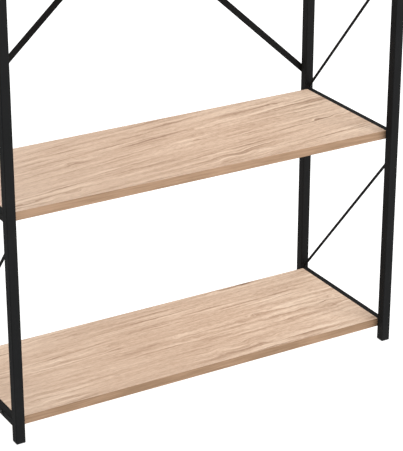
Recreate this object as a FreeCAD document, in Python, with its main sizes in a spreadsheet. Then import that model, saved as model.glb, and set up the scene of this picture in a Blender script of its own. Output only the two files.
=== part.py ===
import FreeCAD, Part
import math
import os
import Sketcher

# A free-standing shelving unit. Two side frames of square tube stand left and right: each has a front and
# a rear upright, a flat rail at every board and a thin diagonal rod in every bay, all welded together.
# Five boards are bolted between the rails, and two crossed flat bars behind the rear uprights keep the
# unit square. The origin is on the floor, under the middle of the whole unit; the front faces -Y.

TIERS = 5
BRACE_FROM_TIER = TIERS // 2 - 1
BRACE_TO_TIER = TIERS // 2 + 1
PLUG_FINS = 3

# Driving dimensions in millimetres. A name that ends in share is a part of another size.
SIZES = {
    # Whole unit, over the uprights
    "width": 900,
    "depth": 345,
    "first_top": 46,
    "tier_pitch": 440,
    # Uprights of square tube
    "post_size": 20,
    "post_wall": 1.5,
    "post_radius": 2,
    "inside_radius_share": 0.25,
    # Plugs that close both ends of an upright
    "foot_head": 3,
    "cap_head": 2,
    "head_round": 0.8,
    "stem_length": 18,
    "stem_wall": 2,
    "fin_depth": 1.2,
    "fin_thickness": 1.2,
    "fin_pitch": 5,
    "fin_fit": 0.15,
    # Side rails of rectangular tube
    "rail_width": 14,
    "rail_height": 16,
    "rail_wall": 1.2,
    "rail_radius": 1.5,
    # Diagonal rods, measured at their middle line where they meet the uprights
    "rod_diameter": 6,
    "rod_rise": 6,
    "rod_drop": 70,
    "rod_overrun_share": 0.2,
    # Boards and their edge bands
    "board_thickness": 18,
    "board_gap": 2,
    "band_thickness": 1,
    "band_round": 0.6,
    # Bolts with button heads, and what they pass through
    "bolt_diameter": 5,
    "bolt_play": 0.25,
    "thread_play": 0.05,
    "tip_chamfer": 0.6,
    "head_diameter": 9.5,
    "head_height": 2.75,
    "dome_share": 0.7,
    "socket_width": 3,
    "socket_depth": 1.6,
    "board_bolt_length": 30,
    "board_bolt_spread": 200,
    # Threaded inserts in the ends of the boards
    "insert_diameter": 8,
    "insert_length": 15,
    "insert_nose": 1,
    "insert_play": 0.05,
    "tip_room": 3,
    # Back brace of flat bar
    "bar_width": 14,
    "bar_thickness": 2,
    "bar_end": 9,
    "bar_end_share": 0.45,
    "brace_rise": 36,
    "brace_drop": 46,
    "joggle_flat": 36,
    "joggle_slope": 14,
    "brace_screw_length": 12,
    "centre_bolt_length": 10,
    "nut_width": 8,
    "nut_height": 4,
    # Rivet nuts in the rear uprights
    "rivet_diameter": 7,
    "rivet_length": 11,
    "rivet_play": 0.05,
    "flange_diameter": 9,
    "flange_thickness": 0.6,
    "bulge_diameter": 9.4,
    "bulge_length": 2.6,
}

# Places and lengths worked out from the driving dimensions, as expressions
POST_X = "((Sizes.width - Sizes.post_size) / 2)"
POST_REACH = "((Sizes.depth - Sizes.post_size) / 2)"
TUBE_INSIDE = "(Sizes.post_size - 2 * Sizes.post_wall)"
BEHIND_POSTS = "(Sizes.flange_thickness + 2 * Sizes.bar_thickness + Sizes.head_height)"
FRAME_Y = f"(-{BEHIND_POSTS} / 2)"
RAIL_LENGTH = "(Sizes.depth - 2 * Sizes.post_size)"
RAIL_OUTSIDE = f"({POST_X} + Sizes.rail_width / 2)"
BOARD_LENGTH = "(Sizes.width - Sizes.post_size - Sizes.rail_width)"
BOARD_DEPTH = f"({RAIL_LENGTH} - 2 * Sizes.board_gap - 2 * Sizes.band_thickness)"
BOLT_DROP = "(-Sizes.rail_height / 2)"
BOLT_HOLE = "(Sizes.bolt_diameter + 2 * Sizes.bolt_play)"
THREAD_BORE = "(Sizes.bolt_diameter + 2 * Sizes.thread_play)"
ROD_RISE = "(Sizes.tier_pitch - Sizes.rod_rise - Sizes.rod_drop)"
BAR_FACE = f"({FRAME_Y} + Sizes.depth / 2 + Sizes.flange_thickness)"


def board_top(tier):
    """Height of a board's top over the floor; the lowest board is tier 0."""
    return f"(Sizes.first_top + {tier} * Sizes.tier_pitch)"


POST_LENGTH = f"({board_top(TIERS - 1)} - Sizes.foot_head)"
BRACE_LOW = f"({board_top(BRACE_FROM_TIER)} + Sizes.brace_rise)"
BRACE_HIGH = f"({board_top(BRACE_TO_TIER)} - Sizes.brace_drop)"
BRACE_MIDDLE = f"(({BRACE_LOW} + {BRACE_HIGH}) / 2)"
BRACE_HALF = f"(({BRACE_HIGH} - {BRACE_LOW}) / 2)"
BAR_REACH = f"(hypot({POST_X}; {BRACE_HALF}) + Sizes.bar_end)"

# How sketches number things: a curve's points count up, the two axes count down
WHOLE, START, END, CENTRE = range(4)
H_AXIS, V_AXIS = range(-1, -3, -1)
NEAR = 1e-6
SIDES = (("left", "-"), ("right", ""))
ENDS = (("front", "-"), ("rear", ""))
ABOUT_X = FreeCAD.Vector(1, 0, 0)
ABOUT_Y = FreeCAD.Vector(0, 1, 0)
ABOUT_Z = FreeCAD.Vector(0, 0, 1)

doc = FreeCAD.newDocument("shelving_unit")
pieces = []


def fill_sheet():
    """Write every driving dimension to the sheet, under its own name."""
    sheet = doc.addObject("Spreadsheet::Sheet", "Sizes")
    for row, (alias, size) in enumerate(SIZES.items(), start=1):
        sheet.set(f"A{row}", alias)
        sheet.set(f"B{row}", str(size))
        sheet.setAlias(f"B{row}", alias)
    doc.recompute()


def number(item, text):
    """What an expression comes to, as a plain number."""
    found = item.evalExpression(text)
    return float(getattr(found, "Value", found))


def place(item, x, y, z):
    """Tie where an item stands to the sheet."""
    for axis, text in zip("xyz", (x, y, z)):
        item.setExpression(f"Placement.Base.{axis}", text)


def slant(item, about, angle):
    """Tie an item's turn about an axis to the sheet; the axis keeps only with some turn already there."""
    item.Placement.Rotation = FreeCAD.Rotation(about, 1)
    item.setExpression("Placement.Rotation.Angle", angle)


def new_body(label):
    """Start a piece that is made from sketches."""
    body = doc.addObject("PartDesign::Body", label)
    body.Label = label
    body.AllowCompound = True
    pieces.append(body)
    return body


def plane_of(body, role):
    """One of a body's own origin planes."""
    return next(item for item in body.Origin.OriginFeatures if item.Role == role)


def new_sketch(body, role, x="0", y="0", z="0"):
    """Start a sketch on an origin plane, moved along the sketch's own axes."""
    sketch = body.newObject("Sketcher::SketchObject", "Sketch")
    sketch.AttachmentSupport = [(plane_of(body, role), "")]
    sketch.MapMode = "FlatFace"
    for axis, text in zip("xyz", (x, y, z)):
        sketch.setExpression(f"AttachmentOffset.Base.{axis}", text)
    return sketch


def tie(sketch, text, *constraint):
    """Add a constraint whose value follows an expression."""
    index = sketch.addConstraint(Sketcher.Constraint(*constraint, abs(number(sketch, text))))
    sketch.setExpression(f"Constraints[{index}]", text)


def hold(sketch, curve, point, x, y):
    """Tie a point of a curve to the sketch's two axes."""
    for kind, axis, text in (("DistanceX", V_AXIS, x), ("DistanceY", H_AXIS, y)):
        value = number(sketch, text)
        if abs(value) < NEAR:
            sketch.addConstraint(Sketcher.Constraint("PointOnObject", curve, point, axis))
        elif value > 0:
            tie(sketch, text, kind, H_AXIS, START, curve, point)
        else:
            tie(sketch, f"-({text})", kind, curve, point, H_AXIS, START)


def outline(sketch, corners):
    """Draw a closed outline of straight lines through corners given as expressions."""
    spots = [FreeCAD.Vector(number(sketch, x), number(sketch, y), 0) for x, y in corners]
    following = spots[1:] + spots[:1]
    lines = [sketch.addGeometry(Part.LineSegment(a, b), False) for a, b in zip(spots, following)]
    for line, next_line, (x, y) in zip(lines, lines[1:] + lines[:1], corners):
        sketch.addConstraint(Sketcher.Constraint("Coincident", line, END, next_line, START))
        hold(sketch, line, START, x, y)


def rectangle(sketch, wide, tall):
    """Draw a rectangle about the sketch's origin."""
    x, y = f"({wide} / 2)", f"({tall} / 2)"
    outline(sketch, [(f"-{x}", f"-{y}"), (x, f"-{y}"), (x, y), (f"-{x}", y)])


def hexagon(sketch, across):
    """Draw a hexagon about the sketch's origin, by its width across flats."""
    half = f"({across} / 2)"
    part = f"({across} / 2 / sqrt(3))"
    right = [(half, f"-{part}"), (half, part)]
    left = [(f"-{half}", part), (f"-{half}", f"-{part}")]
    outline(sketch, [*right, ("0", f"2 * {part}"), *left, ("0", f"-2 * {part}")])


def circle(sketch, x, y, diameter):
    """Draw a circle by its centre and diameter."""
    centre = FreeCAD.Vector(number(sketch, x), number(sketch, y), 0)
    ring = Part.Circle(centre, ABOUT_Z, number(sketch, diameter) / 2)
    curve = sketch.addGeometry(ring, False)
    hold(sketch, curve, CENTRE, x, y)
    tie(sketch, diameter, "Diameter", curve)


def rounded_rectangle(sketch, wide, tall, radius):
    """Draw a rectangle with rounded corners about the sketch's origin."""
    bend = number(sketch, radius)
    x = number(sketch, wide) / 2 - bend
    y = number(sketch, tall) / 2 - bend
    centres = [FreeCAD.Vector(*spot, 0) for spot in ((x, -y), (x, y), (-x, y), (-x, -y))]
    arcs = []
    for centre, turn in zip(centres, (-90, 0, 90, 180)):
        ring = Part.Circle(centre, ABOUT_Z, bend)
        arcs.append(Part.ArcOfCircle(ring, math.radians(turn), math.radians(turn + 90)))
    bends = [sketch.addGeometry(arc, False) for arc in arcs]
    lines = []
    for arc, next_arc in zip(arcs, arcs[1:] + arcs[:1]):
        lines.append(sketch.addGeometry(Part.LineSegment(arc.EndPoint, next_arc.StartPoint), False))
    for curve, line, next_curve in zip(bends, lines, bends[1:] + bends[:1]):
        sketch.addConstraint(Sketcher.Constraint("Tangent", curve, END, line, START))
        sketch.addConstraint(Sketcher.Constraint("Tangent", line, END, next_curve, START))
    right, top, left, bottom = lines
    for line, kind in ((right, "Vertical"), (top, "Horizontal"), (left, "Vertical"), (bottom, "Horizontal")):
        sketch.addConstraint(Sketcher.Constraint(kind, line))
    for curve in bends[1:]:
        sketch.addConstraint(Sketcher.Constraint("Equal", bends[0], curve))
    sketch.addConstraint(Sketcher.Constraint("Symmetric", right, START, left, START, H_AXIS, START))
    tie(sketch, radius, "Radius", bends[0])
    tie(sketch, wide, "DistanceX", left, START, right, START)
    tie(sketch, tall, "DistanceY", bottom, START, top, START)


def pad(body, sketch, length, side="One side", back=False):
    """Raise a sketch into a solid."""
    feature = body.newObject("PartDesign::Pad", "Pad")
    feature.Profile = sketch
    feature.SideType = side
    feature.Reversed = back
    feature.setExpression("Length", length)
    doc.recompute()
    return feature


def pocket(body, sketch, length, side="One side"):
    """Cut a sketch out of the solid, and make sure that the cut meets it."""
    before = body.Shape.Volume
    feature = body.newObject("PartDesign::Pocket", "Pocket")
    feature.Profile = sketch
    feature.SideType = side
    feature.setExpression("Length", length)
    doc.recompute()
    if not feature.Shape.Volume < before:
        raise RuntimeError(f"{body.Label}: a pocket cuts nothing")
    return feature


def revolve(body, sketch):
    """Turn a sketch once about its own horizontal axis."""
    feature = body.newObject("PartDesign::Revolution", "Revolution")
    feature.Profile = sketch
    feature.ReferenceAxis = (sketch, ["H_Axis"])
    feature.Angle = 360
    doc.recompute()
    return feature


def mirror(body, *roles):
    """Add the mirror image of the whole body in each of these origin planes, one after another."""
    for role in roles:
        feature = body.newObject("PartDesign::Mirrored", "Mirrored")
        feature.TransformMode = "Whole shape"
        feature.MirrorPlane = (plane_of(body, role), [""])
        body.Tip = feature
        doc.recompute()


def edges_at(feature, **spot):
    """Names of the edges that keep to the given x, y or z from end to end."""
    names = []
    for index, edge in enumerate(feature.Shape.Edges, start=1):
        points = edge.discretize(3)
        if all(abs(getattr(point, axis) - value) < NEAR for point in points for axis, value in spot.items()):
            names.append(f"Edge{index}")
    return names


def round_off(body, feature, names, radius):
    """Round the named edges of a feature."""
    fillet = body.newObject("PartDesign::Fillet", "Fillet")
    fillet.Base = (feature, names)
    fillet.setExpression("Radius", radius)
    doc.recompute()
    return fillet


def make_tube(label, role, wide, tall, wall, radius, length, side):
    """A straight tube of rectangular section with rounded corners."""
    body = new_body(label)
    section = new_sketch(body, role)
    rounded_rectangle(section, wide, tall, radius)
    inside = f"({radius} * Sizes.inside_radius_share)"
    rounded_rectangle(section, f"({wide} - 2 * {wall})", f"({tall} - 2 * {wall})", inside)
    pad(body, section, length, side)
    return body


def make_post(side, end, sign_x, sign_y):
    """One upright; a rear one is drilled through its back wall for the ends of the brace."""
    size = "Sizes.post_size"
    post = make_tube(f"{side}_{end}_post", "XY_Plane", size, size,
                     "Sizes.post_wall", "Sizes.post_radius", POST_LENGTH, "One side")
    if end == "rear":
        drill = new_sketch(post, "XZ_Plane")
        for height in (BRACE_LOW, BRACE_HIGH):
            hole = "(Sizes.rivet_diameter + 2 * Sizes.rivet_play)"
            circle(drill, "0", f"({height} - Sizes.foot_head)", hole)
        pocket(post, drill, size)
    place(post, f"{sign_x}{POST_X}", f"{FRAME_Y} + {sign_y}{POST_REACH}", "Sizes.foot_head")


def make_plug(label, head, x, y, z):
    """A moulded plug: a head as wide as the tube, and a hollow stem whose fins grip the tube from inside."""
    body = new_body(label)
    rim = new_sketch(body, "XY_Plane")
    rounded_rectangle(rim, "Sizes.post_size", "Sizes.post_size", "Sizes.post_radius")
    cap = pad(body, rim, head, back=True)
    outer_edges = edges_at(cap, z=-number(body, head))
    round_off(body, cap, outer_edges, f"min(Sizes.head_round; {head} / 2)")
    fin = f"({TUBE_INSIDE} - 2 * Sizes.fin_fit)"
    stem = f"({fin} - 2 * Sizes.fin_depth)"
    bend = "(Sizes.post_radius * Sizes.inside_radius_share)"
    wall = new_sketch(body, "XY_Plane")
    rounded_rectangle(wall, stem, stem, bend)
    hollow = f"({stem} - 2 * Sizes.stem_wall)"
    rounded_rectangle(wall, hollow, hollow, bend)
    pad(body, wall, "Sizes.stem_length")
    for count in range(PLUG_FINS):
        lip = f"Sizes.stem_length - Sizes.fin_thickness - {count} * Sizes.fin_pitch"
        ring = new_sketch(body, "XY_Plane", z=lip)
        rounded_rectangle(ring, fin, fin, bend)
        rounded_rectangle(ring, hollow, hollow, bend)
        pad(body, ring, "Sizes.fin_thickness")
    place(body, x, y, z)
    return body


def make_plugs(side, end, sign_x, sign_y):
    """The foot under an upright and the cap on its top."""
    x = f"{sign_x}{POST_X}"
    y = f"{FRAME_Y} + {sign_y}{POST_REACH}"
    make_plug(f"{side}_{end}_foot", "Sizes.foot_head", x, y, "Sizes.foot_head")
    cap = make_plug(f"{side}_{end}_cap", "Sizes.cap_head", x, y, board_top(TIERS - 1))
    cap.Placement.Rotation = FreeCAD.Rotation(ABOUT_X, 180)


def make_rail(side, sign_x, tier):
    """One side rail, its top level with the board's, drilled across for the board's bolts."""
    rail = make_tube(f"{side}_rail_{tier + 1}", "XZ_Plane", "Sizes.rail_width", "Sizes.rail_height",
                     "Sizes.rail_wall", "Sizes.rail_radius", RAIL_LENGTH, "Symmetric")
    drill = new_sketch(rail, "YZ_Plane")
    for sign in ("-", ""):
        circle(drill, f"{sign}(Sizes.board_bolt_spread / 2)", "0", BOLT_HOLE)
    pocket(rail, drill, "2 * Sizes.rail_width", "Symmetric")
    place(rail, f"{sign_x}{POST_X}", FRAME_Y, f"{board_top(tier)} + {BOLT_DROP}")


def make_rod(side, sign_x, tier):
    """One diagonal rod, from low on the rear upright to high on the front one, cut to fit both faces."""
    label = f"{side}_rod_{tier + 1}"
    stretch = "(1 + Sizes.rod_overrun_share)"
    bar = doc.addObject("Part::Cylinder", f"{label}_bar")
    bar.setExpression("Radius", "Sizes.rod_diameter / 2")
    bar.setExpression("Height", f"hypot({RAIL_LENGTH}; {ROD_RISE}) * {stretch}")
    slant(bar, ABOUT_X, f"atan2({RAIL_LENGTH}; {ROD_RISE})")
    place(bar, "0", f"{RAIL_LENGTH} / 2 * {stretch}", f"-{ROD_RISE} / 2 * {stretch}")
    gap = doc.addObject("Part::Box", f"{label}_gap")
    gap.setExpression("Length", "2 * Sizes.rod_diameter")
    gap.setExpression("Width", RAIL_LENGTH)
    gap.setExpression("Height", f"2 * {ROD_RISE}")
    place(gap, "-Sizes.rod_diameter", f"-{RAIL_LENGTH} / 2", f"-{ROD_RISE}")
    rod = doc.addObject("Part::Common", label)
    rod.Label = label
    rod.Base = bar
    rod.Tool = gap
    place(rod, f"{sign_x}{POST_X}", FRAME_Y, f"{board_top(tier)} + Sizes.rod_rise + {ROD_RISE} / 2")
    doc.recompute()
    pieces.append(rod)


def make_board(tier):
    """One board, its top at the body's origin, bored at both ends for the inserts and the bolts' tips."""
    board = new_body(f"shelf_{tier + 1}")
    top = new_sketch(board, "XY_Plane")
    rectangle(top, BOARD_LENGTH, BOARD_DEPTH)
    pad(board, top, "Sizes.board_thickness", back=True)
    bores = []
    insert_bore = "(Sizes.insert_diameter + 2 * Sizes.insert_play)"
    tip_depth = "(Sizes.board_bolt_length - Sizes.rail_width + Sizes.tip_room)"
    for diameter, depth in ((insert_bore, "Sizes.insert_length"), (BOLT_HOLE, tip_depth)):
        drill = new_sketch(board, "YZ_Plane", z=f"{BOARD_LENGTH} / 2")
        for sign in ("-", ""):
            circle(drill, f"{sign}(Sizes.board_bolt_spread / 2)", BOLT_DROP, diameter)
        bores.append(pocket(board, drill, depth))
    far_end = board.newObject("PartDesign::Mirrored", "Mirrored")
    far_end.Originals = bores
    far_end.MirrorPlane = (plane_of(board, "YZ_Plane"), [""])
    board.Tip = far_end
    place(board, "0", FRAME_Y, board_top(tier))


def make_bands(tier):
    """The bands glued to a board's front and rear edges, rounded along their outer arrises."""
    bands = new_body(f"shelf_{tier + 1}_edge_bands")
    near, far = f"({BOARD_DEPTH} / 2)", f"({BOARD_DEPTH} / 2 + Sizes.band_thickness)"
    low = "-Sizes.board_thickness"
    section = new_sketch(bands, "YZ_Plane")
    outline(section, [(near, low), (far, low), (far, "0"), (near, "0")])
    strip = pad(bands, section, BOARD_LENGTH, "Symmetric")
    outside = number(bands, far)
    arrises = edges_at(strip, y=outside, z=0) + edges_at(strip, y=outside, z=number(bands, low))
    round_off(bands, strip, arrises, "min(Sizes.band_round; Sizes.band_thickness / 2)")
    mirror(bands, "XZ_Plane")
    place(bands, "0", FRAME_Y, board_top(tier))


def make_bolt(label, seat, y, z, length):
    """A button-head bolt along X with its head seated at a given x, and a hexagon socket in the head."""
    bolt = new_body(label)
    shank, head = "Sizes.bolt_diameter / 2", "Sizes.head_diameter / 2"
    half = new_sketch(bolt, "XY_Plane", seat, y, z)
    outline(half, [
        (f"-{length}", "0"),
        ("Sizes.head_height", "0"),
        ("Sizes.head_height", head),
        ("0", head),
        ("0", shank),
        (f"Sizes.tip_chamfer - {length}", shank),
        (f"-{length}", f"{shank} - Sizes.tip_chamfer"),
    ])
    turned = revolve(bolt, half)
    crown = f"({seat} + Sizes.head_height)"
    rim = edges_at(turned, x=number(bolt, crown))
    round_off(bolt, turned, rim, "Sizes.head_height * Sizes.dome_share")
    socket = new_sketch(bolt, "YZ_Plane", y, z, crown)
    hexagon(socket, "Sizes.socket_width")
    pocket(bolt, socket, "Sizes.socket_depth")
    return bolt


def make_board_fixings(tier):
    """The four bolts that hold a board between its rails, and the four inserts that they screw into."""
    spread = "(Sizes.board_bolt_spread / 2)"
    bolts = make_bolt(f"shelf_{tier + 1}_bolts", RAIL_OUTSIDE, spread, BOLT_DROP, "Sizes.board_bolt_length")
    inserts = new_body(f"shelf_{tier + 1}_inserts")
    half = new_sketch(inserts, "XY_Plane", f"{BOARD_LENGTH} / 2", spread, BOLT_DROP)
    bore, skin = f"({THREAD_BORE} / 2)", "(Sizes.insert_diameter / 2)"
    outline(half, [
        ("-Sizes.insert_length", bore),
        ("0", bore),
        ("0", skin),
        ("Sizes.insert_nose - Sizes.insert_length", skin),
        ("-Sizes.insert_length", f"{skin} - Sizes.insert_nose"),
    ])
    revolve(inserts, half)
    for group in (bolts, inserts):
        mirror(group, "XZ_Plane", "YZ_Plane")
        place(group, "0", FRAME_Y, board_top(tier))


def make_bar(label, side_view, slope):
    """One brace bar from its side view, with round ends and three holes, turned to its slope."""
    bar = new_body(label)
    edge = new_sketch(bar, "XY_Plane")
    outline(edge, side_view)
    strip = pad(bar, edge, "Sizes.bar_width", "Symmetric")
    reach = number(bar, BAR_REACH)
    half = number(bar, "Sizes.bar_width / 2")
    corners = []
    for x in (-reach, reach):
        for z in (-half, half):
            corners += edges_at(strip, x=x, z=z)
    round_off(bar, strip, corners, "Sizes.bar_width * Sizes.bar_end_share")
    drill = new_sketch(bar, "XZ_Plane")
    hole_reach = f"({BAR_REACH} - Sizes.bar_end)"
    for x in (f"-{hole_reach}", "0", hole_reach):
        circle(drill, x, "0", BOLT_HOLE)
    pocket(bar, drill, "6 * Sizes.bar_thickness", "Symmetric")
    slant(bar, ABOUT_Y, f"{slope}atan2({BRACE_HALF}; {POST_X})")
    place(bar, "0", BAR_FACE, BRACE_MIDDLE)


def make_brace_bars():
    """A straight bar against the rivet nuts, and one with a joggle that carries it over the first."""
    thick, twice = "Sizes.bar_thickness", "2 * Sizes.bar_thickness"
    flat = "(Sizes.joggle_flat / 2)"
    foot = "(Sizes.joggle_flat / 2 + Sizes.joggle_slope)"
    ends = [(f"-{BAR_REACH}", thick), (f"-{BAR_REACH}", "0")]
    far_ends = [(BAR_REACH, "0"), (BAR_REACH, thick)]
    make_bar("straight_brace_bar", ends + far_ends, "-")
    under = [(f"-{foot}", "0"), (f"-{flat}", thick), (flat, thick), (foot, "0")]
    over = [(foot, thick), (flat, twice), (f"-{flat}", twice), (f"-{foot}", thick)]
    make_bar("joggled_brace_bar", ends + under + far_ends + over, "")


def make_brace_fixings():
    """Screws and rivet nuts at the bars' four ends, and the bolt and nut where the bars cross."""
    thick = "Sizes.bar_thickness"
    screws = make_bolt("brace_screws", thick, POST_X, BRACE_HALF, "Sizes.brace_screw_length")
    rivets = new_body("brace_rivet_nuts")
    half = new_sketch(rivets, "XY_Plane", "0", POST_X, BRACE_HALF)
    bore, barrel = f"({THREAD_BORE} / 2)", "(Sizes.rivet_diameter / 2)"
    flange, bulge = "(Sizes.flange_diameter / 2)", "(Sizes.bulge_diameter / 2)"
    wall = "(Sizes.flange_thickness + Sizes.post_wall)"
    outline(half, [
        ("-Sizes.rivet_length", bore),
        ("0", bore),
        ("0", flange),
        ("-Sizes.flange_thickness", flange),
        ("-Sizes.flange_thickness", barrel),
        (f"-{wall}", barrel),
        (f"-{wall}", bulge),
        (f"-({wall} + Sizes.bulge_length)", bulge),
        (f"-({wall} + Sizes.bulge_length)", barrel),
        ("-Sizes.rivet_length", barrel),
    ])
    revolve(rivets, half)
    for group in (screws, rivets):
        mirror(group, "XZ_Plane", "XY_Plane")
    bolt = make_bolt("brace_centre_bolt", f"2 * {thick}", "0", "0", "Sizes.centre_bolt_length")
    nut = new_body("brace_centre_nut")
    section = new_sketch(nut, "YZ_Plane")
    hexagon(section, "Sizes.nut_width")
    circle(section, "0", "0", THREAD_BORE)
    pad(nut, section, "Sizes.nut_height", back=True)
    for group in (screws, rivets, bolt, nut):
        group.Placement.Rotation = FreeCAD.Rotation(ABOUT_Z, 90)
        place(group, "0", BAR_FACE, BRACE_MIDDLE)


def check_pieces():
    """Stop if anything failed to build or a piece isn't a sound solid."""
    for item in doc.Objects:
        if "Invalid" in item.State or "Error" in item.State:
            raise RuntimeError(f"{item.Label} failed to build")
    for piece in pieces:
        if piece.Shape.isNull() or not piece.Shape.isValid() or not piece.Shape.Solids:
            raise RuntimeError(f"{piece.Label} isn't a sound solid")


def write_pieces():
    """Write one file for each piece."""
    os.makedirs("parts", exist_ok=True)
    for piece in pieces:
        piece.Shape.exportStep(f"parts/{piece.Label}.step")
        print(f"{piece.Label}: {len(piece.Shape.Solids)} solids, {piece.Shape.Volume:.1f} mm3")


fill_sheet()
for side, sign_x in SIDES:
    for end, sign_y in ENDS:
        make_post(side, end, sign_x, sign_y)
        make_plugs(side, end, sign_x, sign_y)
    for tier in range(TIERS):
        make_rail(side, sign_x, tier)
    for tier in range(TIERS - 1):
        make_rod(side, sign_x, tier)
for tier in range(TIERS):
    make_board(tier)
    make_bands(tier)
    make_board_fixings(tier)
make_brace_bars()
make_brace_fixings()
doc.recompute()
check_pieces()
write_pieces()
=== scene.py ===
import math

import bmesh
import bpy
from bpy.props import FloatProperty, FloatVectorProperty, PointerProperty
from bpy.types import Operator, Panel, PropertyGroup
from mathutils import Matrix, Vector


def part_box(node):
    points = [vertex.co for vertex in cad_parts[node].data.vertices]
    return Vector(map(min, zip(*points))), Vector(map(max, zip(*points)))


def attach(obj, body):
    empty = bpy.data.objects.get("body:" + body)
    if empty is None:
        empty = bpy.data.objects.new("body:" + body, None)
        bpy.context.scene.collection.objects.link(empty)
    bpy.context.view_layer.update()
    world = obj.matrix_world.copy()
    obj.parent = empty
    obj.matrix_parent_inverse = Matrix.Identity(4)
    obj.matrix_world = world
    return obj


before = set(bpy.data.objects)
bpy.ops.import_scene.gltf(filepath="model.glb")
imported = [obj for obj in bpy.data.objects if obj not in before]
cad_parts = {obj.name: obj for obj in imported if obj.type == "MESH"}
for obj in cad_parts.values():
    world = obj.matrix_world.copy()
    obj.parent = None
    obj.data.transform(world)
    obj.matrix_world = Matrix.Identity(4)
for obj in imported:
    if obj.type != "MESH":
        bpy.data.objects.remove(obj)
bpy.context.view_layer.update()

bl_info = {
    "name": "Shelving unit finishes",
    "version": (1, 0, 0),
    "blender": (4, 5, 0),
    "location": "3D View > Sidebar > Shelving",
    "description": "Oak, black powder coat, welds and studio for a shelving unit of square tube",
    "category": "Object",
}

IMAGE_WIDTH, IMAGE_HEIGHT = 403, 451

# The body that carries all pieces, and the words and numbers in the nodes' names.
BODY = "root"
SIDES = ("left", "right")
ENDS = ("front", "rear")
BOARDS = range(1, 1 + sum(name.startswith("left_rail_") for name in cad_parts))
BAYS = BOARDS[:-1]


def length(name, description, default):
    """A size in metres."""
    return FloatProperty(name=name, description=description, default=default, min=0.0,
                         precision=5, unit="LENGTH")


def offset(name, description, default):
    """A distance from the unit's middle in metres, to either side."""
    return FloatProperty(name=name, description=description, default=default, unit="LENGTH")


def angle(name, description, degrees):
    """An angle, given here in degrees."""
    return FloatProperty(name=name, description=description, default=math.radians(degrees),
                         unit="ROTATION")


def share(name, description, default):
    """A share between nothing and the whole."""
    return FloatProperty(name=name, description=description, default=default, min=0.0, max=1.0,
                         subtype="FACTOR")


def amount(name, description, default):
    """A plain number."""
    return FloatProperty(name=name, description=description, default=default)


def power(name, description, default):
    """What a lamp puts out, in watts."""
    return FloatProperty(name=name, description=description, default=default, min=0.0,
                         unit="POWER")


def colour(name, description, default):
    """A colour in linear light."""
    return FloatVectorProperty(name=name, description=description, default=default,
                               min=0.0, max=1.0, size=3, subtype="COLOR")


def spot(name, description, default):
    """A place in the unit's frame."""
    return FloatVectorProperty(name=name, description=description, default=default, size=3,
                               subtype="TRANSLATION", unit="LENGTH")


class OakSettings(PropertyGroup):
    """Pale oak faces and their darker edge bands."""
    pale: colour("Early wood", "The lightest tone between the streaks", (0.815, 0.66, 0.52))
    middle: colour("Ground", "The tone that most of a board has", (0.575, 0.408, 0.295))
    deep: colour("Late wood", "The tone of the streaks", (0.26, 0.16, 0.10))
    dash: colour("Pores", "The tone of short pore dashes", (0.27, 0.17, 0.11))
    step_along: length("Cut along", "How far along the wood one board is cut from the next", 1.37)
    step_across: length("Cut across", "How far across the wood that is", 0.53)
    slant: amount("Slant", "How far the grain runs sideways per metre of the lowest board", 0.028)
    slant_step: amount("Slant step", "How much more it does so in every second board", 0.076)
    flame_along: offset("Flame along", "Where the flame lies along a board", 0.10)
    flame_across: offset("Flame across", "Where the flame lies across a board", -0.112)
    flame_pitch: length("Flame pitch", "How long one wave of the flame is", 0.085)
    flame_sway: length("Flame sway", "How far the flame sways", 0.0032)
    bend: length("Bend", "How far the grain wanders sideways", 0.018)
    ripple: length("Ripple", "How far the grain wavers over a short run", 0.0060)
    curl: length("Curl", "How far the grain curls round small knots", 0.030)
    ring_pitch: length("Ring pitch", "How far apart the growth lines lie", 0.021)
    streak_length: length("Streak length", "How long a streak runs along the board", 0.21)
    streak_width: length("Streak width", "How wide a streak is", 0.0110)
    fibre_length: length("Fibre length", "How long the finest fibres are", 0.013)
    fibre_width: length("Fibre width", "How wide the finest fibres are", 0.0032)
    dash_length: length("Pore length", "How long a pore dash is", 0.034)
    dash_width: length("Pore width", "How wide a pore dash is", 0.0028)
    vessel_length: length("Vessel length", "How long an open vessel is", 0.011)
    vessel_width: length("Vessel width", "How wide an open vessel is", 0.0007)
    relief: length("Relief", "How deep the pressed grain is", 0.0002)
    gloss: share("Roughness", "How matt the lacquer is", 0.56)
    shine: share("Specular level", "How strongly the boards mirror light", 0.25)
    band_pale: colour("Band ground", "The light tone of the edge bands", (0.45, 0.285, 0.180))
    band_deep: colour("Band streaks", "The dark tone of the edge bands", (0.262, 0.159, 0.088))
    # painted shade: the bands of the first, third and fifth boards are darker, as the lowest
    # board's edge gets less light from above
    band_shade_step: amount("Band step", "How much paler the bands of every second board are", 0.075)
    band_shine: share("Band specular level", "How strongly the bands mirror light", 0.3)


class CoatSettings(PropertyGroup):
    """Black powder coat on the steel."""
    tone: colour("Coat", "The coat's own black", (0.0139, 0.0142, 0.0146))
    worn: colour("Thin coat", "The tone where the coat lies thinner", (0.0201, 0.0205, 0.021))
    grain: length("Grain", "The size of the coat's fine texture", 0.0009)
    peel: length("Peel", "The size of the slow waves in the coat", 0.007)
    relief: length("Relief", "How deep the fine texture is", 0.00005)
    gloss: share("Roughness", "How matt the coat is", 0.68)
    shine: share("Specular level", "How strongly the coat mirrors light", 0.03)


class PlugSettings(PropertyGroup):
    """Moulded feet and caps."""
    tone: colour("Plastic", "The moulding's black", (0.017, 0.017, 0.0175))
    grain: length("Grain", "The size of the eroded mould texture", 0.0006)
    flow: length("Flow", "The size of the cloudy patches", 0.012)
    relief: length("Relief", "How deep the mould texture is", 0.00004)
    gloss: share("Roughness", "How matt the plastic is", 0.48)
    shine: share("Specular level", "How strongly the plastic mirrors light", 0.2)


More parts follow.
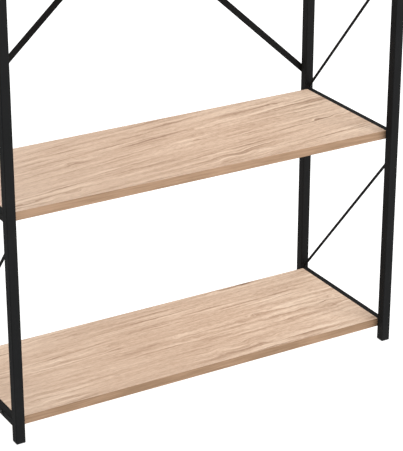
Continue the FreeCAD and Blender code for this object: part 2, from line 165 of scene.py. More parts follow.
class FixingSettings(PropertyGroup):
    """Bolts, nuts and inserts."""
    black: colour("Blackened steel", "The oxide on bolts, screws and nut", (0.03, 0.029, 0.028))
    black_metal: share("Blackened metal", "How much of the steel shows through the oxide", 0.6)
    black_gloss: share("Blackened roughness", "How matt the oxide is", 0.42)
    zinc: colour("Zinc", "The tone of plated inserts and rivet nuts", (0.52, 0.54, 0.57))
    zinc_metal: share("Zinc metal", "How metallic the plating is", 1.0)
    zinc_gloss: share("Zinc roughness", "How matt the plating is", 0.3)
    brushing: length("Tool marks", "The spacing of turning marks", 0.0004)
    cloud: length("Cloud", "The size of the cloudy patches", 0.005)
    relief: length("Relief", "How deep the tool marks are", 0.00002)


class WeldSettings(PropertyGroup):
    """Fillet welds that join rails and rods to the uprights."""
    rail_leg: length("Rail weld", "The leg of the fillets at the rails", 0.0016)
    rod_leg: length("Rod weld", "The leg of the fillets round the rods", 0.0013)
    pitch: length("Ripple pitch", "The spacing of the weld's ripples", 0.0016)
    ripple: share("Ripple", "How strongly the ripples swell", 0.22)
    bury: length("Root", "How far a fillet's root goes into the steel", 0.0002)
    rail_round: length("Rail corner", "The rounding of the rails' corners", 0.0015)


class StageSettings(PropertyGroup):
    """Floor, light and camera."""
    floor: colour("Floor", "The floor's pale tone", (0.3, 0.3, 0.3))
    floor_glow: amount("Floor glow", "Light that the floor gives off, as a lit table does", 1.0)
    floor_reach: length("Floor reach", "From the unit to the floor's edge", 40.0)
    sky: colour("Sky", "The colour of the light from all round", (1.0, 1.0, 1.0))
    sky_left: amount("Sky on the left", "How strong the light from the left is", 0.15)
    sky_right: amount("Sky on the right", "How strong the light from the right is", 0.65)
    key_spot: spot("Key place", "Where the front softbox hangs", (1.7, -3.3, 3.4))
    key_power: power("Key power", "The front softbox", 140.0)
    back_spot: spot("Back place", "Where the rear softbox hangs", (-0.6, 3.4, 3.3))
    back_power: power("Back power", "The rear softbox", 116.0)
    side_spot: spot("Side place", "Where the softbox on the right hangs", (3.3, -0.4, 2.4))
    side_power: power("Side power", "The softbox on the right", 40.0)
    softbox: length("Softbox", "The side of each softbox", 2.6)
    aim: spot("Aim", "The point that the softboxes face", (0.0, 0.0, 0.7))
    camera_spot: spot("Camera place", "Where the camera stands", (-1.73436, -3.08966, 1.87002))
    yaw: angle("Yaw", "The camera's turn to the right of straight ahead", 30.3521)
    pitch: angle("Pitch", "How far the camera looks down", 23.8182)
    roll: angle("Roll", "The camera's tilt to one side", -0.0388)
    focal: amount("Focal length", "In pixels of the picture", 1850.0)


NOISE_MIDDLE = 0.5  # what a noise averages to
NOISE_RUN = (0.3, 0.7)  # where most of its values lie


class Graph:
    """One material's nodes. Most methods add nodes and return the socket with their result."""

    def __init__(self, name):
        self.material = bpy.data.materials.new(name)
        self.material.use_nodes = True
        self.tree = self.material.node_tree
        self.tree.nodes.clear()
        self.surface = self.tree.nodes.new("ShaderNodeBsdfPrincipled")
        end = self.tree.nodes.new("ShaderNodeOutputMaterial")
        self.tree.links.new(self.surface.outputs["BSDF"], end.inputs["Surface"])

    def feed(self, socket, value):
        """Link a socket to another, or set it to a plain value or colour."""
        if isinstance(value, bpy.types.NodeSocket):
            self.tree.links.new(value, socket)
        elif socket.type == "RGBA":
            socket.default_value = (*value, 1.0)
        else:
            socket.default_value = value

    def place(self):
        """The x, y and z of the point, in the unit's frame."""
        where = self.tree.nodes.new("ShaderNodeTexCoord")
        parts = self.tree.nodes.new("ShaderNodeSeparateXYZ")
        self.tree.links.new(where.outputs["Object"], parts.inputs["Vector"])
        return parts.outputs["X"], parts.outputs["Y"], parts.outputs["Z"]

    def maths(self, kind, first, second=0.0, third=0.0):
        """One step of arithmetic, by Blender's name for it."""
        node = self.tree.nodes.new("ShaderNodeMath")
        node.operation = kind
        for socket, value in zip(node.inputs, (first, second, third)):
            self.feed(socket, value)
        return node.outputs["Value"]

    def noise(self, axes, sizes, detail=2.0, rough=0.5, twist=0.0):
        """Smooth noise with a size for each axis; a size of zero leaves its axis out."""
        where = self.tree.nodes.new("ShaderNodeCombineXYZ")
        for socket, value, size in zip(where.inputs, axes, sizes):
            if size:
                self.feed(socket, self.maths("DIVIDE", value, size))
        node = self.tree.nodes.new("ShaderNodeTexNoise")
        self.feed(node.inputs["Vector"], where.outputs["Vector"])
        settings = {"Scale": 1.0, "Detail": detail, "Roughness": rough, "Distortion": twist}
        for name, value in settings.items():
            self.feed(node.inputs[name], value)
        return node.outputs["Fac"]

    def span(self, value, low, high, start=0.0, stop=1.0):
        """A value's run from low to high, laid smoothly on the run from start to stop."""
        node = self.tree.nodes.new("ShaderNodeMapRange")
        node.interpolation_type = "SMOOTHSTEP"
        settings = {"Value": value, "From Min": low, "From Max": high,
                    "To Min": start, "To Max": stop}
        for name, setting in settings.items():
            self.feed(node.inputs[name], setting)
        return node.outputs["Result"]

    def near(self, value, centre, full, end):
        """1 up to the full distance from a centre, fading to 0 at the end distance."""
        distance = self.maths("ABSOLUTE", self.maths("SUBTRACT", value, centre))
        return self.span(distance, full, end, 1.0, 0.0)

    def swayed(self, base, noise, reach):
        """A base value that noise moves to and fro."""
        return self.maths("MULTIPLY_ADD", self.maths("SUBTRACT", noise, NOISE_MIDDLE), reach, base)

    def tones(self, value, places, colours):
        """Colours at their places along a value."""
        node = self.tree.nodes.new("ShaderNodeValToRGB")
        ramp = node.color_ramp
        ramp.interpolation = "B_SPLINE"
        while len(ramp.elements) < len(places):
            ramp.elements.new(1.0)
        for element, where, tone in zip(ramp.elements, places, colours):
            element.position = where
            element.color = (*tone, 1.0)
        self.feed(node.inputs["Fac"], value)
        return node.outputs["Color"]

    def mix(self, part, first, second):
        """Two colours mixed by a share."""
        node = self.tree.nodes.new("ShaderNodeMix")
        node.data_type = "RGBA"
        self.feed(node.inputs["Factor"], part)
        sockets = [socket for socket in node.inputs if socket.type == "RGBA"]
        for socket, value in zip(sockets, (first, second)):
            self.feed(socket, value)
        return next(socket for socket in node.outputs if socket.type == "RGBA")

    def finish(self, **sockets):
        """Feed the surface's own sockets; an underscore in a name stands for a space."""
        for name, value in sockets.items():
            self.feed(self.surface.inputs[name.replace("_", " ")], value)

    def roughen(self, value, middle, spread):
        """Let the roughness follow a noise, between two steps from its middle."""
        start, stop = (middle + step for step in spread)
        self.finish(Roughness=self.span(value, *NOISE_RUN, start, stop))

    def emboss(self, height, depth):
        """Raise the surface by a height between 0 and 1, of the given depth."""
        node = self.tree.nodes.new("ShaderNodeBump")
        node.inputs["Strength"].default_value = 1.0
        node.inputs["Distance"].default_value = depth
        self.feed(node.inputs["Height"], height)
        self.finish(Normal=node.outputs["Normal"])


def shaded(tone, part):
    """A colour with only a part of its light."""
    return [part * value for value in tone]


def board_pitch():
    """How far one board lies above the next."""
    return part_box("shelf_2")[0].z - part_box("shelf_1")[0].z


def board_number(g, height):
    """Which board a height belongs to, from 0 at the floor, and 1 for every second one."""
    number = g.maths("FLOOR", g.maths("DIVIDE", height, board_pitch()))
    return number, g.maths("PINGPONG", number, 1.0)


# What changes over a board, by its size along and across the grain in metres.
BEND_SIZE = (0.60, 0.20)  # the grain's slow wandering
RIPPLE_SIZE = (0.034, 0.03)  # its quick wavering
KNOTTY_SIZE = (0.15, 0.045)  # the places that hold small knots
KNOT_SIZE = (0.045, 0.016)  # the curls round the knots
CLOUD_SIZE = (0.28, 0.05)  # broad pale and dark patches
LIVELY_SIZE = (0.26, 0.06)  # the places with a strong figure
SWELL_SIZE = (0.45, 0.10)  # where the growth lines move apart or together
BREAK_SIZE = (0.20, 0.012)  # where a growth line shows or is lost

# Distances in metres at which the flame starts to fade, and ends.
FLAME_HALF_WIDTH = (0.008, 0.030)
FLAME_HALF_LENGTH = (0.06, 0.14)

# Runs for Graph.span: from where to where, and between which results if not 0 and 1.
KNOTTY = (0.52, 0.68)
LIVELY = (0.38, 0.62, 0.45, 1.25)
LIVELY_ALONG = (-0.10, 0.45, 0.66, 0.97)  # by the place along the board
BREAKS = (0.46, 0.62)
LINE = (0.52, 0.96)  # by the way from one growth line to the next
# painted highlight: where on that way the pale start of each growth line is lit up, as on pressed
# grain
CREST_HIGHLIGHT = (0.01, 0.30, 1.0, 0.0)  # by the same way
FIBRES_ALONG = (-0.20, 0.30, 0.36, 0.55)  # by the place along the board
# painted light: the ground tone rises towards both ends, lifting the shade that falls near the
# posts and rails
GROUND_WITH_END_LIGHT = (0.02, 0.42, 0.438, 0.50)  # by the distance from the board's middle
PORES = (0.60, 0.72)
PORES_IN_CLOUDS = (0.35, 0.65, 1.0, 0.2)
VESSELS = (0.66, 0.74)
VESSELS_IN_LINES = (0.1, 0.9, 0.35, 1.0)  # by the way from one growth line to the next

# What each adds to a board's tone, which rises from the deep wood to the pale.
STREAK_TONE = 1.18
LINE_TONE = -0.28
# what the painted highlight after each growth line adds
CREST_HIGHLIGHT_TONE = 0.13
CLOUD_TONE = 0.12
FLAME_LIVELINESS = 0.25  # what the flame adds to the figure's strength
SWELL_LINES = 3.0  # how many pitches the growth lines move
PORE_DARKNESS = 0.38
VESSEL_DARKNESS = 0.34
MARK_SINK = -0.4  # how far pores and vessels lower the relief
BOARD_STOPS = (0.14, 0.48, 0.80)  # the deep, middle and pale tone
BOARD_ROUGHNESS = (0.08, -0.05)


def oak_board_material(oak):
    """Pale oak, its grain running along the board at a slight slant."""
    g = Graph("oak_board")
    along, across, height = g.place()

    # every board is cut from its own stretch of the wood
    number, second = board_number(g, height)
    x = g.maths("MULTIPLY_ADD", number, oak.step_along, along)
    y = g.maths("MULTIPLY_ADD", number, oak.step_across, across)
    slant = g.maths("MULTIPLY_ADD", second, oak.slant_step, oak.slant)
    y = g.maths("SUBTRACT", y, g.maths("MULTIPLY", along, slant))

    # a wavy flame near the front edge
    flame = g.maths("MULTIPLY", g.near(across, oak.flame_across, *FLAME_HALF_WIDTH),
                    g.near(along, oak.flame_along, *FLAME_HALF_LENGTH))
    wave = g.maths("SINE", g.maths("DIVIDE", along, oak.flame_pitch / (2 * math.pi)))
    y = g.maths("MULTIPLY_ADD", g.maths("MULTIPLY", flame, wave), oak.flame_sway, y)

    # the grain wanders and wavers, and in a few places curls round small knots
    y = g.swayed(y, g.noise((x, y), BEND_SIZE), oak.bend)
    y = g.swayed(y, g.noise((x, y), RIPPLE_SIZE), oak.ripple)
    knotty = g.span(g.noise((x, y), KNOTTY_SIZE, detail=1.0), *KNOTTY)
    curl = g.noise((x, y), KNOT_SIZE, detail=1.0)
    curl = g.maths("MULTIPLY", knotty, g.maths("SUBTRACT", curl, NOISE_MIDDLE))
    y = g.maths("MULTIPLY_ADD", curl, oak.curl, y)

    # growth lines: each darkens towards a crisp edge, then starts again pale with a painted
    # highlight, as light would catch pressed grain there, and fades in and out along its run
    swell = g.noise((x, y), SWELL_SIZE)
    ring = g.maths("MULTIPLY_ADD", swell, SWELL_LINES, g.maths("DIVIDE", y, oak.ring_pitch))
    ring = g.maths("FRACT", ring)
    breaks = g.span(g.noise((x, y), BREAK_SIZE), *BREAKS)
    line = g.maths("MULTIPLY", g.span(ring, *LINE), breaks)
    crest_highlight = g.maths("MULTIPLY", g.span(ring, *CREST_HIGHLIGHT), breaks)

    # the figure, lively in some places and quiet in others, and quieter towards the left
    streak = g.noise((x, y), (oak.streak_length, oak.streak_width), rough=0.6, twist=0.2)
    figure = g.maths("MULTIPLY", g.maths("SUBTRACT", streak, NOISE_MIDDLE), STREAK_TONE)
    figure = g.maths("MULTIPLY_ADD", crest_highlight, CREST_HIGHLIGHT_TONE, figure)
    figure = g.maths("MULTIPLY_ADD", line, LINE_TONE, figure)
    lively = g.span(g.noise((x, y), LIVELY_SIZE, detail=1.0), *LIVELY)
    lively = g.maths("MULTIPLY", lively, g.span(along, *LIVELY_ALONG))
    lively = g.maths("MULTIPLY_ADD", flame, FLAME_LIVELINESS, lively)

    cloud = g.noise((x, y), CLOUD_SIZE)
    # the ground tone, painted paler towards both ends as painted light against the shade by the
    # posts and rails
    tone = g.span(g.maths("ABSOLUTE", along), *GROUND_WITH_END_LIGHT)
    tone = g.maths("MULTIPLY_ADD", cloud, CLOUD_TONE, tone)
    tone = g.maths("MULTIPLY_ADD", figure, lively, tone)
    fibre = g.noise((x, y), (oak.fibre_length, oak.fibre_width), detail=3.0, rough=0.65)
    tone = g.swayed(tone, fibre, g.span(along, *FIBRES_ALONG))

    # pore dashes, most of them in the darker clouds, and vessels near the growth lines
    pore = g.noise((x, y), (oak.dash_length, oak.dash_width), detail=1.0)
    pore = g.maths("MULTIPLY", g.span(pore, *PORES), g.span(cloud, *PORES_IN_CLOUDS))
    vessel = g.noise((x, y), (oak.vessel_length, oak.vessel_width), detail=0.0)
    vessel = g.maths("MULTIPLY", g.span(vessel, *VESSELS), g.span(ring, *VESSELS_IN_LINES))
    marks = g.maths("MAXIMUM", g.maths("MULTIPLY", pore, PORE_DARKNESS),
                    g.maths("MULTIPLY", vessel, VESSEL_DARKNESS))

    wood = g.tones(tone, BOARD_STOPS, (oak.deep, oak.middle, oak.pale))
    g.finish(Base_Color=g.mix(marks, wood, oak.dash), Specular_IOR_Level=oak.shine)
    g.roughen(tone, oak.gloss, BOARD_ROUGHNESS)
    g.emboss(g.maths("MULTIPLY_ADD", marks, MARK_SINK, tone), oak.relief)
    return g.material


# What changes over an edge band, by its size along, through (left out) and up, in metres.
BAND_WAVER_SIZE = (0.09, 0, 0.02)
BAND_STREAK_SIZE = (0.10, 0, 0.004)
BAND_CLOUD_SIZE = (0.16, 0, 0.05)
BAND_FIBRE_SIZE = (0.015, 0, 0.0006)
BAND_WAVER = 0.006  # how far the bands' grain wavers, in metres
BAND_BASE = -0.05
BAND_STREAK_TONE = 0.65
BAND_CLOUD_TONE = 0.35
BAND_STOPS = (0.38, 0.60)  # the deep and the pale tone
BAND_ROUGHNESS = (0.1, 0.0)
BAND_FIBRE_HEIGHT = 0.4  # how high fibres stand beside the streaks


def oak_band_material(oak):
    """The darker bands on a board's edges, grain lengthwise."""
    g = Graph("oak_edge")
    x, y, z = g.place()
    second = board_number(g, z)[1]
    z = g.swayed(z, g.noise((x, y, z), BAND_WAVER_SIZE), BAND_WAVER)
    streak = g.noise((x, y, z), BAND_STREAK_SIZE, detail=3.0, rough=0.6)
    cloud = g.noise((x, y, z), BAND_CLOUD_SIZE)
    fibre = g.noise((x, y, z), BAND_FIBRE_SIZE, detail=1.0)
    # painted shade: every second band, starting with the lowest board's, is darker, as if it got
    # less light from above
    tone = g.maths("MULTIPLY_ADD", second, oak.band_shade_step, BAND_BASE)
    tone = g.maths("MULTIPLY_ADD", streak, BAND_STREAK_TONE, tone)
    tone = g.maths("MULTIPLY_ADD", cloud, BAND_CLOUD_TONE, tone)
    g.finish(Base_Color=g.tones(tone, BAND_STOPS, (oak.band_deep, oak.band_pale)),
             Specular_IOR_Level=oak.band_shine)
    g.roughen(streak, oak.gloss, BAND_ROUGHNESS)
    g.emboss(g.maths("MULTIPLY_ADD", fibre, BAND_FIBRE_HEIGHT, streak), oak.relief)
    return g.material


COAT_CLOUD_SIZE = (0.06, 0.06, 0.09)
# The coat is thin on the peaks of its grain, in some clouds only.
THIN_CLOUDS = (0.45, 0.75)
THIN_GRAIN = (0.4, 0.65)
PEEL_HEIGHT = 0.8  # how high the slow waves stand beside the grain
COAT_ROUGHNESS = (-0.06, 0.08)


def coat_material(coat):
    """Matt black powder coat with a fine texture."""
    g = Graph("black_frame")
    where = g.place()
    grain = g.noise(where, [coat.grain] * 3, rough=0.6)
    peel = g.noise(where, [coat.peel] * 3, detail=1.0)
    cloud = g.noise(where, COAT_CLOUD_SIZE, detail=3.0, rough=0.6)
    thin = g.maths("MULTIPLY", g.span(cloud, *THIN_CLOUDS), g.span(grain, *THIN_GRAIN))
    g.finish(Base_Color=g.mix(thin, coat.tone, coat.worn), Specular_IOR_Level=coat.shine)
    g.roughen(grain, coat.gloss, COAT_ROUGHNESS)
    g.emboss(g.maths("MULTIPLY_ADD", peel, PEEL_HEIGHT, grain), coat.relief)
    return g.material


FLOW_SHADE = 0.8  # the light left in the plastic's darkest patches
PLUG_ROUGHNESS = (-0.05, 0.07)


def plug_material(plug):
    """Black moulded plastic with an eroded texture."""
    g = Graph("black_plug")
    where = g.place()
    grain = g.noise(where, [plug.grain] * 3, rough=0.7)
    flow = g.noise(where, [plug.flow] * 3)
    g.finish(Base_Color=g.mix(flow, shaded(plug.tone, FLOW_SHADE), plug.tone),
             Specular_IOR_Level=plug.shine)
    g.roughen(flow, plug.gloss, PLUG_ROUGHNESS)
    g.emboss(grain, plug.relief)
    return g.material


MARK_STRETCH = 6  # how much longer than wide a tool mark is
FIXING_SHADE = 0.7  # the light left in the steel's darkest patches
FIXING_ROUGHNESS = (0.0, 0.15)


def fixing_material(name, fixing, tone, metal, gloss):
    """Turned and plated steel."""
    g = Graph(name)
    where = g.place()
    marks = g.noise(where, (fixing.brushing, fixing.brushing, fixing.brushing * MARK_STRETCH))
    cloud = g.noise(where, [fixing.cloud] * 3, detail=3.0, rough=0.6)
    g.finish(Base_Color=g.mix(cloud, shaded(tone, FIXING_SHADE), tone), Metallic=metal)
    g.roughen(cloud, gloss, FIXING_ROUGHNESS)
    g.emboss(marks, fixing.relief)
    return g.material


FLOOR_CLOUD_SIZE = (1.5, 1.5)
FLOOR_SHADE = 0.985  # the light left in the floor's darkest patches
FLOOR_ROUGHNESS = 0.9
WHITE = (1.0, 1.0, 1.0)


def floor_material(stage):
    """A pale, softly lit table."""
    g = Graph("studio_floor")
    cloud = g.noise(g.place(), FLOOR_CLOUD_SIZE)
    g.finish(Base_Color=g.mix(cloud, shaded(stage.floor, FLOOR_SHADE), stage.floor),
             Roughness=FLOOR_ROUGHNESS, Specular_IOR_Level=0.0,
             Emission_Color=WHITE, Emission_Strength=stage.floor_glow)
    return g.material


def dress(names, material):
    """Give CAD nodes a finish."""
    for name in names:
        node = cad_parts[name]
        node.data.materials.clear()
        node.data.materials.append(material)


def finish_of(name):
    """A finish that an earlier step has made."""
    if name not in bpy.data.materials:
        raise RuntimeError(f"the finish {name} has to be made first")
    return bpy.data.materials[name]


def new_piece(name, mesh, material):
    """Put a finished bmesh into the scene as a piece that rides with the unit."""
    bmesh.ops.recalc_face_normals(mesh, faces=mesh.faces)
    data = bpy.data.meshes.new(name)
    mesh.to_mesh(data)
    mesh.free()
    for face in data.polygons:
        face.use_smooth = True
    data.materials.append(material)
    piece = bpy.data.objects.new(name, data)
    bpy.context.scene.collection.objects.link(piece)
    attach(piece, BODY)


BEAD_STEPS = 6  # facets across a weld's face
BEAD_FULLNESS = 0.62  # of that face: 1 is a quarter circle, 0.5 a flat chamfer
RIPPLE_STEPS = 6  # stations along one ripple
TAPER_START = 0.35  # a rail weld's leg at its two ends, as a share of the full leg
TAPER_RIPPLES = 3  # ripples in which the taper would add a whole leg
LINE_ROUNDS = 4  # rounds that settle the line of a rod


def sweep_bead(mesh, stations, bury, closed):
    """Loft a fillet through stations of (root, way along upright, way along bar, leg)."""
    rings = []
    for root, spread, climb, leg in stations:
        ring = [root - bury * (spread + climb)]
        for step in range(BEAD_STEPS + 1):
            turn = math.pi / 2 * step / BEAD_STEPS
            # the face's two edges dip into the steel
            out = leg * math.cos(turn) ** (1 / BEAD_FULLNESS) if step < BEAD_STEPS else -bury
            up = leg * math.sin(turn) ** (1 / BEAD_FULLNESS) if step > 0 else -bury
            ring.append(root + spread * out + climb * up)
        rings.append([mesh.verts.new(point) for point in ring])
    count = len(rings[0])
    pairs = list(zip(rings, rings[1:]))
    if closed:
        pairs.append((rings[-1], rings[0]))
    for near, far in pairs:
        for side in range(count):
            after = (side + 1) % count
            mesh.faces.new((near[side], near[after], far[after], far[side]))
    if not closed:
        mesh.faces.new(rings[0])
        mesh.faces.new(rings[-1])


def rippled(run, weld):
    """How much a weld swells at a place along it."""
    saw = run / weld.pitch % 1.0
    return 1.0 + weld.ripple * (0.5 - saw)


def rail_stations(low, high, face, climb, weld):
    """Stations of a fillet down one flank of a rail, under it and up the other flank."""
    radius = weld.rail_round
    middle = (low.x + high.x) / 2
    half = (high.x - low.x) / 2
    top, floor = high.z - 2 * radius, low.z
    flank, under, bend = top - floor - radius, 2 * (half - radius), math.pi / 2 * radius
    total = 2 * flank + under + 2 * bend
    count = round(total / weld.pitch * RIPPLE_STEPS)
    made = []
    for step in range(count + 1):
        run = total * step / count
        mirrored = run > total / 2
        half_run = total - run if mirrored else run
        if half_run < flank:
            x, z, out = -half, top - half_run, Vector((-1, 0, 0))
        elif half_run < flank + bend:
            turn = (half_run - flank) / radius
            out = Vector((-math.cos(turn), 0, -math.sin(turn)))
            x, z = -half + radius + radius * out.x, floor + radius + radius * out.z
        else:
            x, z, out = -half + radius + half_run - flank - bend, floor, Vector((0, 0, -1))
        if mirrored:
            x, out = -x, Vector((-out.x, 0, out.z))
        taper = min(1.0, TAPER_START + half_run / (TAPER_RIPPLES * weld.pitch))
        leg = weld.rail_leg * taper * rippled(run, weld)
        made.append((Vector((middle + x, face, z)), out, climb, leg))
    return made


def rod_line(low, high, radius):
    """The line from a rod's rear end to its front end, from its box."""
    run, height = high.y - low.y, high.z - low.z
    rise = height
    # the ends are cut upright, so the box is taller than the line by the cut's own height,
    # which the slope decides: a few rounds settle both
    for _ in range(LINE_ROUNDS):
        rise = height - 2 * radius * math.hypot(run, rise) / run
    return Vector((0, -run, rise))


def rod_stations(centre, along, radius, face_out, weld):
    """Stations of a fillet round a rod where it meets an upright's face."""
    stretch = 1 / abs(along.dot(face_out))
    across = Vector((1, 0, 0))
    rise = Vector((0, 0, 1))
    count = round(2 * math.pi * radius * (1 + stretch) / 2 / weld.pitch) * RIPPLE_STEPS
    made = []
    for step in range(count):
        turn = 2 * math.pi * step / count
        side, up = math.cos(turn), math.sin(turn)
        root = across * (radius * side) + rise * (radius * stretch * up)
        spread = across * side / radius + rise * up / (radius * stretch)
        leg = weld.rod_leg * rippled(step / RIPPLE_STEPS * weld.pitch, weld)
        made.append((centre + root, spread.normalized(), along, leg))
    return made


class SHELVING_OT_oak_boards(Operator):
    """Lay pale oak on the boards"""
    bl_idname = "shelving.oak_boards"
    bl_label = "Oak boards"

    def execute(self, context):
        material = oak_board_material(context.scene.shelving_oak)
        dress([f"shelf_{board}" for board in BOARDS], material)
        return {"FINISHED"}


class SHELVING_OT_edge_bands(Operator):
    """Glue darker oak bands along the boards' edges"""
    bl_idname = "shelving.edge_bands"
    bl_label = "Edge bands"

    def execute(self, context):
        material = oak_band_material(context.scene.shelving_oak)
        dress([f"shelf_{board}_edge_bands" for board in BOARDS], material)
        return {"FINISHED"}


class SHELVING_OT_coated_frame(Operator):
    """Coat uprights, rails, rods and brace bars in black powder"""
    bl_idname = "shelving.coated_frame"
    bl_label = "Coated frame"

    def execute(self, context):
        names = [f"{side}_{end}_post" for side in SIDES for end in ENDS]
        names += [f"{side}_rail_{board}" for side in SIDES for board in BOARDS]
        names += [f"{side}_rod_{bay}" for side in SIDES for bay in BAYS]
        names += ["straight_brace_bar", "joggled_brace_bar"]
        dress(names, coat_material(context.scene.shelving_coat))
        return {"FINISHED"}


class SHELVING_OT_plugs(Operator):
    """Mould the feet and caps"""
    bl_idname = "shelving.plugs"
    bl_label = "Feet and caps"

    def execute(self, context):
        posts = [f"{side}_{end}" for side in SIDES for end in ENDS]
        names = [f"{post}_{kind}" for post in posts for kind in ("foot", "cap")]
        dress(names, plug_material(context.scene.shelving_plug))
        return {"FINISHED"}


class SHELVING_OT_fixings(Operator):
    """Blacken the bolts and plate the inserts"""
    bl_idname = "shelving.fixings"
    bl_label = "Fixings"

    def execute(self, context):
        fixing = context.scene.shelving_fixing
        black = fixing_material("black_fixing", fixing, fixing.black,
                                fixing.black_metal, fixing.black_gloss)
        plated = fixing_material("zinc_fixing", fixing, fixing.zinc,
                                 fixing.zinc_metal, fixing.zinc_gloss)
        dress([f"shelf_{board}_bolts" for board in BOARDS], black)
        dress(["brace_screws", "brace_centre_bolt", "brace_centre_nut"], black)
        dress([f"shelf_{board}_inserts" for board in BOARDS], plated)
        dress(["brace_rivet_nuts"], plated)
        return {"FINISHED"}


class SHELVING_OT_rail_welds(Operator):
    """Run fillet welds under the rails' ends; their tops stay flush with the boards"""
    bl_idname = "shelving.rail_welds"
    bl_label = "Rail welds"

    def execute(self, context):
        weld = context.scene.shelving_weld
        for side in SIDES:
            mesh = bmesh.new()
            for board in BOARDS:
                low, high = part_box(f"{side}_rail_{board}")
                for face, away in ((low.y, 1), (high.y, -1)):
                    stations = rail_stations(low, high, face, Vector((0, away, 0)), weld)
                    sweep_bead(mesh, stations, weld.bury, closed=False)
            new_piece(f"{side}_rail_welds", mesh, finish_of("black_frame"))
        return {"FINISHED"}


class SHELVING_OT_rod_welds(Operator):
    """Run fillet welds round the rods' ends"""
    bl_idname = "shelving.rod_welds"
    bl_label = "Rod welds"

    def execute(self, context):
        weld = context.scene.shelving_weld
        for side in SIDES:
            mesh = bmesh.new()
            for bay in BAYS:
                low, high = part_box(f"{side}_rod_{bay}")
                radius = (high.x - low.x) / 2
                middle = (low + high) / 2
                line = rod_line(low, high, radius)
                axis = line.normalized()
                for centre, along in ((middle - line / 2, axis), (middle + line / 2, -axis)):
                    face_out = Vector((0, math.copysign(1, along.y), 0))
                    stations = rod_stations(centre, along, radius, face_out, weld)
                    sweep_bead(mesh, stations, weld.bury, closed=True)
            new_piece(f"{side}_rod_welds", mesh, finish_of("black_frame"))
        return {"FINISHED"}


FLOOR_SEGMENTS = 96
FLOOR_DROP = 0.0004  # metres below the feet, so that the two faces don't coincide
CAMERA_REACH = 200.0  # metres, past the floor's far edge


def lay_floor(scene, stage):
    """A wide round floor under the feet."""
    mesh = bmesh.new()
    bmesh.ops.create_circle(mesh, cap_ends=True, segments=FLOOR_SEGMENTS,
                            radius=stage.floor_reach)
    data = bpy.data.meshes.new("studio_floor")
    mesh.to_mesh(data)
    mesh.free()
    data.materials.append(floor_material(stage))
    floor = bpy.data.objects.new("studio_floor", data)
    floor.location.z = -FLOOR_DROP
    scene.collection.objects.link(floor)


def light_sky(scene, stage):
    """Soft light from all round, weaker from the left than from the right."""
    world = bpy.data.worlds.new("studio_sky")
    world.use_nodes = True
    nodes, links = world.node_tree.nodes, world.node_tree.links
    sky = nodes["Background"]
    sky.inputs["Color"].default_value = (*stage.sky, 1.0)
    where = nodes.new("ShaderNodeTexCoord")
    parts = nodes.new("ShaderNodeSeparateXYZ")
    fade = nodes.new("ShaderNodeMapRange")
    settings = {"From Min": -1.0, "From Max": 1.0,
                "To Min": stage.sky_left, "To Max": stage.sky_right}
    for name, value in settings.items():
        fade.inputs[name].default_value = value
    links.new(where.outputs["Generated"], parts.inputs["Vector"])
    links.new(parts.outputs["X"], fade.inputs["Value"])
    links.new(fade.outputs["Result"], sky.inputs["Strength"])
    scene.world = world


def hang_softbox(scene, stage, name, where, strength):
    """One softbox that faces the unit."""
    light = bpy.data.lights.new(name, "AREA")
    light.shape = "SQUARE"
    light.size = stage.softbox
    light.energy = strength
    lamp = bpy.data.objects.new(name, light)
    lamp.location = where
    lamp.rotation_mode = "QUATERNION"
    lamp.rotation_quaternion = (Vector(stage.aim) - Vector(where)).to_track_quat("-Z", "Y")
    scene.collection.objects.link(lamp)


def set_camera(scene, stage):
    """The camera, at the viewing angle that the settings give."""
    lens = bpy.data.cameras.new("studio_camera")
    lens.lens = stage.focal / max(IMAGE_WIDTH, IMAGE_HEIGHT) * lens.sensor_width
    lens.clip_end = CAMERA_REACH
    camera = bpy.data.objects.new("studio_camera", lens)
    yaw = Matrix.Rotation(-stage.yaw, 4, "Z")
    pitch = Matrix.Rotation(math.pi / 2 - stage.pitch, 4, "X")
    roll = Matrix.Rotation(-stage.roll, 4, "Z")
    camera.matrix_world = Matrix.Translation(stage.camera_spot) @ yaw @ pitch @ roll
    scene.collection.objects.link(camera)
    scene.camera = camera


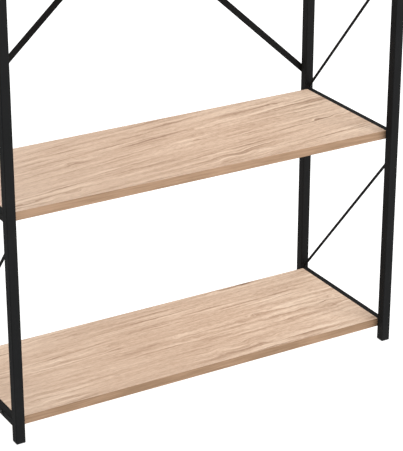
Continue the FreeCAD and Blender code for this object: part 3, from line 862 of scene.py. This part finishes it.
class SHELVING_OT_stage(Operator):
    """Lay the floor, hang the softboxes and set up the camera"""
    bl_idname = "shelving.stage"
    bl_label = "Studio"

    def execute(self, context):
        scene = context.scene
        stage = scene.shelving_stage
        lay_floor(scene, stage)
        light_sky(scene, stage)
        hang_softbox(scene, stage, "key_softbox", stage.key_spot, stage.key_power)
        hang_softbox(scene, stage, "back_softbox", stage.back_spot, stage.back_power)
        hang_softbox(scene, stage, "side_softbox", stage.side_spot, stage.side_power)
        set_camera(scene, stage)
        scene.view_settings.view_transform = "Standard"
        return {"FINISHED"}


GROUPS = {
    "shelving_oak": OakSettings,
    "shelving_coat": CoatSettings,
    "shelving_plug": PlugSettings,
    "shelving_fixing": FixingSettings,
    "shelving_weld": WeldSettings,
    "shelving_stage": StageSettings,
}
STEPS = (
    SHELVING_OT_oak_boards,
    SHELVING_OT_edge_bands,
    SHELVING_OT_coated_frame,
    SHELVING_OT_plugs,
    SHELVING_OT_fixings,
    SHELVING_OT_rail_welds,
    SHELVING_OT_rod_welds,
    SHELVING_OT_stage,
)


class SHELVING_PT_sidebar(Panel):
    """Settings and steps of the shelving unit's finishes"""
    bl_label = "Shelving unit"
    bl_idname = "SHELVING_PT_sidebar"
    bl_space_type = "VIEW_3D"
    bl_region_type = "UI"
    bl_category = "Shelving"

    def draw(self, context):
        for step in STEPS:
            self.layout.operator(step.bl_idname)
        for name in GROUPS:
            box = self.layout.box()
            settings = getattr(context.scene, name)
            for field in settings.bl_rna.properties:
                if not field.is_readonly and field.identifier != "name":
                    box.prop(settings, field.identifier)


def register():
    for name, group in GROUPS.items():
        bpy.utils.register_class(group)
        setattr(bpy.types.Scene, name, PointerProperty(type=group))
    for step in STEPS:
        bpy.utils.register_class(step)
    bpy.utils.register_class(SHELVING_PT_sidebar)


def unregister():
    bpy.utils.unregister_class(SHELVING_PT_sidebar)
    for step in reversed(STEPS):
        bpy.utils.unregister_class(step)
    for name, group in reversed(GROUPS.items()):
        delattr(bpy.types.Scene, name)
        bpy.utils.unregister_class(group)


def main():
    register()
    bpy.ops.shelving.oak_boards()
    bpy.ops.shelving.edge_bands()
    bpy.ops.shelving.coated_frame()
    bpy.ops.shelving.plugs()
    bpy.ops.shelving.fixings()
    bpy.ops.shelving.rail_welds()
    bpy.ops.shelving.rod_welds()
    bpy.ops.shelving.stage()


if __name__ == "__main__":
    main()
